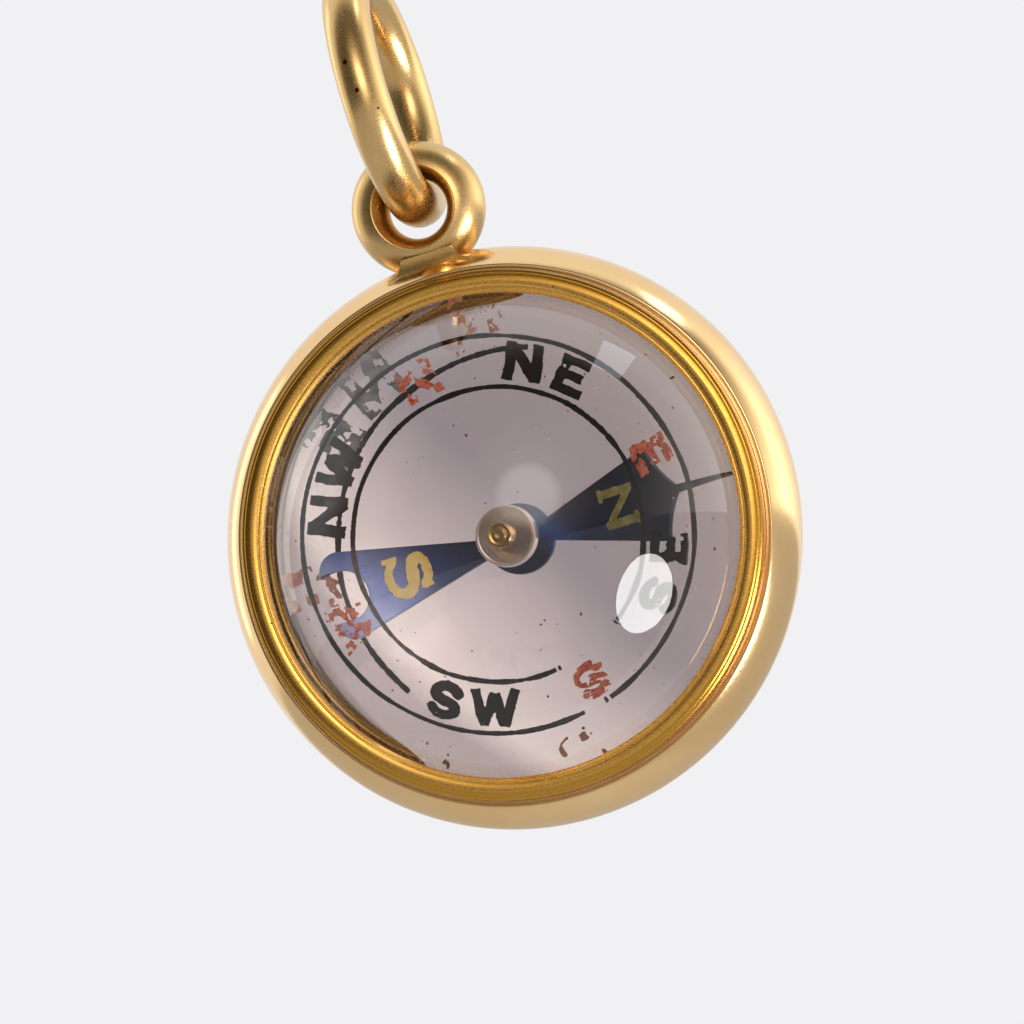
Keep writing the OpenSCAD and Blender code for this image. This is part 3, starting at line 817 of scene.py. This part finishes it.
# The outline carried through the blade's thickness with a bevel at each face,
# where a point moves in along the mean normal of its two edges, and the bore
# carried straight through. The flat faces are cut into triangles.
def bladeSolid(n):
    line = bladeOutline(n)
    back, ahead = (run / np.linalg.norm(run, axis=1, keepdims=True)
                   for run in (line - np.roll(line, 1, 0), np.roll(line, -1, 0) - line))
    run = back + ahead
    reach = n["bevel"] * 2 / np.maximum((run ** 2).sum(1, keepdims=True), 1)
    inner = line + reach * np.stack([-run[:, 1], run[:, 0]], -1)
    bore = arc(0, 0, n["hole"], 0, -360, n["boreSteps"] + 1)[:-1, :2]
    flat = np.vstack([inner, bore])
    cut = np.array(tessellate_polygon([[Vector((*p, 0)) for p in edge.tolist()]
                                       for edge in (inner, bore)]))
    a, b, c = (flat[cut[:, k]] for k in range(3))
    over = (b[:, 0] - a[:, 0]) * (c[:, 1] - a[:, 1]) < (b[:, 1] - a[:, 1]) * (c[:, 0] - a[:, 0])
    cut[over] = cut[over, ::-1]
    low, high = n["front"], n["back"]
    layers = [[(inner, low), (line, low + n["bevel"]), (line, high - n["bevel"]), (inner, high)],
              [(bore, low), (bore, high)]]
    points, groups, ends, total = [], [], [], 0
    for layer in layers:
        count = len(layer[0][0])
        sheets = []
        for p, y in layer:
            x, z = onNeedle(p[:, 0], p[:, 1])
            sheets.append(np.column_stack([x, np.full(count, y), z]))
        points.append(np.stack(sheets, 1).reshape(-1, 3))
        groups.append(gridFaces(count, len(layer), True, False) + total)
        ends.append(total + np.arange(count)[:, None] * len(layer) + [0, len(layer) - 1])
        total += count * len(layer)
    nearEnd, farEnd = np.vstack(ends).T
    return np.vstack(points), groups + [nearEnd[cut][:, ::-1], farEnd[cut]]


makePiece("needleBlade", *bladeSolid(needle), blued, "needle", "blued_steel", ["needle_blade"],
          sharp=20)

# A mark has its place along the blade, height, seed and paint
needleLetters = dict(spacing=0.02, thick=0.012, sunk=0.001, keep=2.2, shake=0.01,
                     marks={"N": (2.57, 0.9, 31, "olivePaint"),
                            "S": (-2.78, 1.16, 77, "giltPaint")})


# A letter on a face of the blade, its top towards the north end
def bladeLetter(side, character, at, height, seed):
    field, a, b = letterField(serifLetters[character], height, needleLetters["spacing"], seed,
                              needleLetters["keep"], needleLetters["shake"])
    return field, *onNeedle(at + b, side * a), False


for side, face in ((-1, needle["front"]), (1, needle["back"])):
    for character, (*place, colour) in needleLetters["marks"].items():
        filmPiece(sideNames[side] + "Needle" + character, [bladeLetter(side, character, *place)],
                  face + side * needleLetters["thick"], face - side * needleLetters["sunk"],
                  paint[colour], "needle", "pivot_brass")

# Turned parts on the needle's staff. A profile is a list of corners: radius,
# height ahead of the case's middle, and round. The front cap's face is a dish.
dish = arc(0, 2.3, 1.53, -62, -84.5, 24)
staffParts = {  # steps round, material, slot, node and profile
    "needleFrontCap": (128, "capSteel", "polished_cap", "needle_front_cap", np.vstack([
        [(0.45, -0.295, 0.02), (0.45, 0.66, 0.08), (0.77, 0.66, 0.04), (0.8, 0.7, 0.04),
         (0.8, 0.92, 0.03), (0.775, 0.95, 0.015), (0.74, 0.95, 0.01)],
        dish, [(0.15, 0.77, 0.01), (0.15, -0.295, 0.01)]])),
    "needleRearCap": (128, "pivotGold", "pivot_brass", "needle_rear_cap", [
        (0.55, -0.445, 0.02), (0.55, -0.78, 0.03), (0.49, -0.845, 0.03), (0.4, -0.8, 0.02),
        (0.28, -0.845, 0.02), (0.15, -0.845, 0.01), (0.15, -0.445, 0.01)]),
    "needleStaff": (48, "staffSteel", "staff_steel", "needle_staff", withMirror([
        (0, 1.44, 0), (0.055, 1.44, 0.015), (0.07, 1.4, 0.01), (0.07, 0.98, 0.01),
        (0.12, 0.98, 0.01), (0.14, 0.95, 0.01)])),
}
for name, (count, look, slot, node, profile) in staffParts.items():
    solid = turned(rounded(profile), count, poles=profile[0][0] == 0)
    makePiece(name, *solid, gold[look], "needle", slot, [node])
print("needle made")


# Loop, saddle and jump ring
loop = dict(middleZ=-4.12, outside=2.33, halfDeep=1.1, throat=1.03, flare=1.6, sunk=0.03,
            soft=0.09, outerGap=9, boreGap=5, outerSteps=44, boreSteps=30, cornerSteps=8,
            count=240)


# Section of the loop: a round outside that meets a bore opening to both
# faces. Each arc stops some degrees short of the corner where they meet.
def loopSection(p):
    outer, bore = p["outside"] - p["halfDeep"], p["throat"] + p["flare"]
    meetX = (bore ** 2 - outer ** 2) - (p["flare"] ** 2 - p["halfDeep"] ** 2)
    meetX = meetX / (2 * (bore - outer))
    meetY = np.sqrt(p["halfDeep"] ** 2 - (meetX - outer) ** 2)
    outerEnd = np.degrees(np.arctan2(meetY, meetX - outer)) - p["outerGap"]
    boreEnd = np.degrees(np.arctan2(meetY, meetX - bore)) + p["boreGap"]
    return rounded(np.vstack([
        arc(outer, 0, p["halfDeep"], -outerEnd, outerEnd, p["outerSteps"]),
        [(meetX, meetY, p["soft"])],
        arc(bore, 0, p["flare"], boreEnd, 360 - boreEnd, p["boreSteps"]),
        [(meetX, -meetY, p["soft"])]]), p["cornerSteps"])


# Whatever lies deeper than sunk inside the band's round outside comes out to
# that depth, so the loop's foot ends where the band begins
def outOfBand(points, sunk, tiny=1e-6):
    x, high, z = points[:, 0], points[:, 1], points[:, 2] - caseZ
    radial = np.hypot(x, z)
    off = radial - bandMiddle
    grow = np.maximum((band["round"] - sunk) / np.maximum(np.hypot(off, high), tiny), 1)
    scale = (bandMiddle + off * grow) / np.maximum(radial, tiny)
    return np.stack([x * scale, high * grow, z * scale + caseZ], -1)


loopPoints, loopFaces = turned(loopSection(loop), loop["count"], axisZ=loop["middleZ"])
makePiece("loop", outOfBand(loopPoints, loop["sunk"]), loopFaces, gold["loopGold"],
          "case", "loop_gold", ["loop"])

# Each way the saddle has half its flat, the radius of its hollow, and the
# angle where the hollow ends
saddle = dict(top=10.14, ways=[(0.95, 0.55, 90), (1.1, 0.95, 50.8)], sunk=0.05, thin=0.004,
              steps=28, flatSteps=18)


# The saddle is what lies between the band's round outside and a top whose
# height over each place is the lower of two: across and along, the top is
# flat in the middle and falls away on each side down an arc
def saddleSolid(s):
    lines = []
    for half, hollow, end in s["ways"]:
        t = np.radians(np.linspace(0, end, s["steps"]))
        side = half + hollow * (1 - np.cos(t))
        fall = hollow * np.sin(t)
        inside = np.linspace(-half, half, s["flatSteps"])[1:-1]
        lines.append((np.concatenate([-side[::-1], inside, side]),
                      np.concatenate([fall[::-1], 0 * inside, fall])))
    x, h = np.meshgrid(lines[0][0], lines[1][0], indexing="ij")
    fall = np.maximum(*np.meshgrid(lines[0][1], lines[1][1], indexing="ij"))
    foot = bandTop(x, h) - s["sunk"]
    top = np.maximum(s["top"] - fall, foot + s["thin"])
    rows, columns = x.shape
    points = np.stack([np.stack([x, h, z + caseZ], -1) for z in (foot, top)]).reshape(-1, 3)
    size = rows * columns
    number = np.arange(size).reshape(rows, columns)
    rim = np.concatenate([number[0], number[1:, -1], number[-1, -2::-1], number[-2:0:-1, 0]])
    after = np.roll(rim, -1)
    sheet = gridFaces(rows, columns, False, False)
    wall = np.stack([rim, after, after + size, rim + size], -1)
    return points, [sheet[:, ::-1], sheet + size, wall]


makePiece("saddle", *saddleSolid(saddle), gold["loopGold"], "case", "loop_gold", ["loop_saddle"])

ring = dict(middle=3.94, wire=0.82, wear=0.004, wearGrain=2.2, around=400, section=96)


# A round wire bent to a circle, worn a few thousandths of a millimetre uneven
def ringSolid(r):
    a, b = np.meshgrid(np.linspace(0, 2 * np.pi, r["around"], endpoint=False),
                       np.linspace(0, 2 * np.pi, r["section"], endpoint=False), indexing="ij")
    wire = r["wire"] - r["wear"] - r["wear"] * uneven(np.sin(a) * 4, np.cos(a) * 4 + b,
                                                      r["wearGrain"], 5)
    out = r["middle"] + wire * np.cos(b)
    points = np.stack([wire * np.sin(b), out * np.sin(a), out * np.cos(a)], -1)
    return points.reshape(-1, 3), [gridFaces(r["around"], r["section"])]


makePiece("jumpRing", *ringSolid(ring), gold["ringGold"], "ring", "ring_gold", ["jump_ring"])
print("loop, saddle and ring made")


# Dust inside the crystals. A few specks are larger than the others.
dust = dict(size=(0.012, 0.034), height=1.388, thick=0.4, larger=1.7, common=0.9,
            stretch=(0.6, 1.5))


# Flattened specks: six points each, at seeded places on the two flats
def dustSolid(d, count, reach, seed):
    draw = np.random.default_rng(seed)
    thick = d["thick"]
    away = reach * np.sqrt(draw.uniform(0.01, 1, count))
    turn = draw.uniform(0, 2 * np.pi, count)
    size = draw.uniform(*d["size"], count)
    size = size * np.where(draw.uniform(0, 1, count) > d["common"], d["larger"], 1)
    side = np.where(np.arange(count) % 3 == 0, 1, -1)
    middle = np.stack([away * np.sin(turn), side * (d["height"] - size * thick),
                       away * np.cos(turn) + caseZ], -1)
    shape = np.array([[1, 0, 0], [0, 0, 1], [-1, 0, 0], [0, 0, -1], [0, thick, 0],
                      [0, -thick, 0]])
    stretch = np.ones((count, 3))
    stretch[:, 0] = draw.uniform(*d["stretch"], count)
    stretch[:, 2] = draw.uniform(*d["stretch"], count)
    points = middle[:, None] + shape[None] * (size[:, None] * stretch)[:, None]
    faces = np.array([[0, 1, 4], [1, 2, 4], [2, 3, 4], [3, 0, 4],
                      [1, 0, 5], [2, 1, 5], [3, 2, 5], [0, 3, 5]])
    faces = faces + 6 * np.arange(count)[:, None, None]
    return points.reshape(-1, 3), [faces.reshape(-1, 3)]


for name, colour, *spread in (("dustSpecks", "dust", 150, 7.2, 9),
                              ("paleSpecks", "paleDust", 46, 6.6, 21)):
    makePiece(name, *dustSolid(dust, *spread), paint[colour], "case", "seal", sharp=80)


# Floor, lamps and world. The floor is mat paper: the camera sees it a little
# paler than its own light makes it, with the shadow kept.
stage = dict(floorZ=-420, floorRadius=3000, floorCorners=96, floorColour="#E4E4E6",
             floorRough=0.9, lift=0.3, backColour="#F1F1F3")


def makeFloor(s):
    around = np.linspace(0, 2 * np.pi, s["floorCorners"], endpoint=False)
    points = np.stack([np.cos(around), np.sin(around), 0 * around], -1) * s["floorRadius"] * mm
    points[:, 2] = s["floorZ"] * mm
    mesh = bpy.data.meshes.new("paleFloor")
    mesh.from_pydata(points.tolist(), [], [list(range(s["floorCorners"]))])
    material, add, shader = newMaterial("matPaper")
    lift = add("Math", {0: add("LightPath").outputs["Is Camera Ray"], 1: s["lift"]},
               operation="MULTIPLY")
    colour = linear(s["floorColour"])
    fill(shader, {"Base Color": colour, "Roughness": s["floorRough"],
                  "Emission Color": colour, "Emission Strength": lift})
    mesh.materials.append(material)
    floor = showObject("paleFloor", mesh)
    floor.visible_transmission = False


makeFloor(stage)

lamps = {  # way in the picture's right, up and towards the camera; distance, size, watts
    "keySoftbox": ((0.771, -0.347, 0.535), 330, (150, 180), 0.9, "#FFFFFF", "ELLIPSE"),
    "topWindow": ((0.437, 0.891, -0.1), 420, (130, 70), 0.08, "#E8F0FF", "RECTANGLE"),
    "sideFill": ((-0.8, 0.1, -0.6), 420, (90, 300), 0.12, "#FFF6EA", "RECTANGLE"),
}


def pictureWay(way):
    x, y, z = way
    return Vector((x * pictureRight + y * pictureUp - z * pictureAhead).tolist()).normalized()


def makeLamp(name, way, away, size, watts, colour, shape):
    data = bpy.data.lights.new(name, "AREA")
    data.shape = shape
    data.size, data.size_y = (side * mm for side in size)
    data.energy = watts
    data.color = linear(colour)[:3]
    lamp = showObject(name, data)
    way = pictureWay(way)
    lamp.matrix_world = (Matrix.Translation(way * away * mm + Vector((0, 0, caseZ * mm)))
                         @ way.to_track_quat("Z", "Y").to_matrix().to_4x4())
    lamp.visible_camera = False


for name, look in lamps.items():
    makeLamp(name, *look)

# The room: pale paper behind and beside the compass, dimmer on the
# photographer's side. Three soft glows stand for the lit wall ahead, its
# brightest place and the window at the right. Seen through the crystals, the
# paper behind is brighter up and to the right, where the window lights it.
room = dict(
    stops=[(0.0, "#F1F1F3"), (0.42, "#FFFFFF"), (0.49, "#BCB8B2"), (0.55, "#726E67"),
           (0.72, "#5C5852"), (0.85, "#504D48"), (1.0, "#46433F")],
    glows=[  # way, strength, low and high end of its edge, how tight it is, colour
        ((0.02, 0.36, 0.93), 1.55, 0, 1, 14, "#FFF0DC"),
        ((0.02, 0.33, 0.944), 2.4, 0.966, 0.984, 1, "#FFFAF2"),
        ((0.95, 0.05, 0.0), 1.75, 0, 1, 5, "#FFFAF2")],
    paperWay=(0.707, 0.707, 0), paperReach=0.6, paperStrength=2.2, behindReach=0.15,
    paper=[(0.0, "#A4A39A"), (0.45, "#999A9B"), (0.88, "#E9E9DB"), (1.0, "#B4B2AB")])


def makeWorld():
    world = bpy.data.worlds.new("paleRoom")
    world.use_nodes = True
    bpy.context.scene.world = world
    add = partial(addNode, world.node_tree)
    way = add("TexCoord").outputs["Generated"]

    # How far a ray goes along a direction, as a share between low and high
    def towards(direction, low, high):
        near = add("VectorMath", {0: way, 1: tuple(pictureWay(direction))},
                   operation="DOT_PRODUCT")
        return add("MapRange", {"From Min": low, "From Max": high, "Value": near})

    def coloured(share, stops):
        return setRamp(add("ValToRGB", {"Fac": share}), stops)

    walls = coloured(towards((0, 0, 1), -1, 1), room["stops"])
    for glowWay, strength, low, high, tight, colour in room["glows"]:
        lobe = add("Math", {0: towards(glowWay, low, high), 1: tight}, operation="POWER")
        light = tuple(strength * c for c in linear(colour)[:3])
        walls = add("VectorMath", {0: light, 1: lobe, 2: walls}, operation="MULTIPLY_ADD")
    reach, edge = room["paperReach"], room["behindReach"]
    paper = coloured(towards(room["paperWay"], -reach, reach), room["paper"])
    paper = add("VectorMath", {0: paper, "Scale": room["paperStrength"]}, operation="SCALE")
    path = add("LightPath").outputs
    behind = add("Math", {0: towards((0, 0, -1), -edge, edge), 1: path["Is Transmission Ray"]},
                 operation="MULTIPLY")
    through = add("Mix", {"Factor": behind, "A": walls, "B": paper}, data_type="RGBA")
    seen = add("Mix", {"Factor": path["Is Camera Ray"], "A": through,
                       "B": linear(stage["backColour"])}, data_type="RGBA")
    fill(world.node_tree.nodes["Background"], {"Strength": 1, "Color": seen})


makeWorld()
bpy.context.scene.view_settings.view_transform = "Standard"
print("stage set")
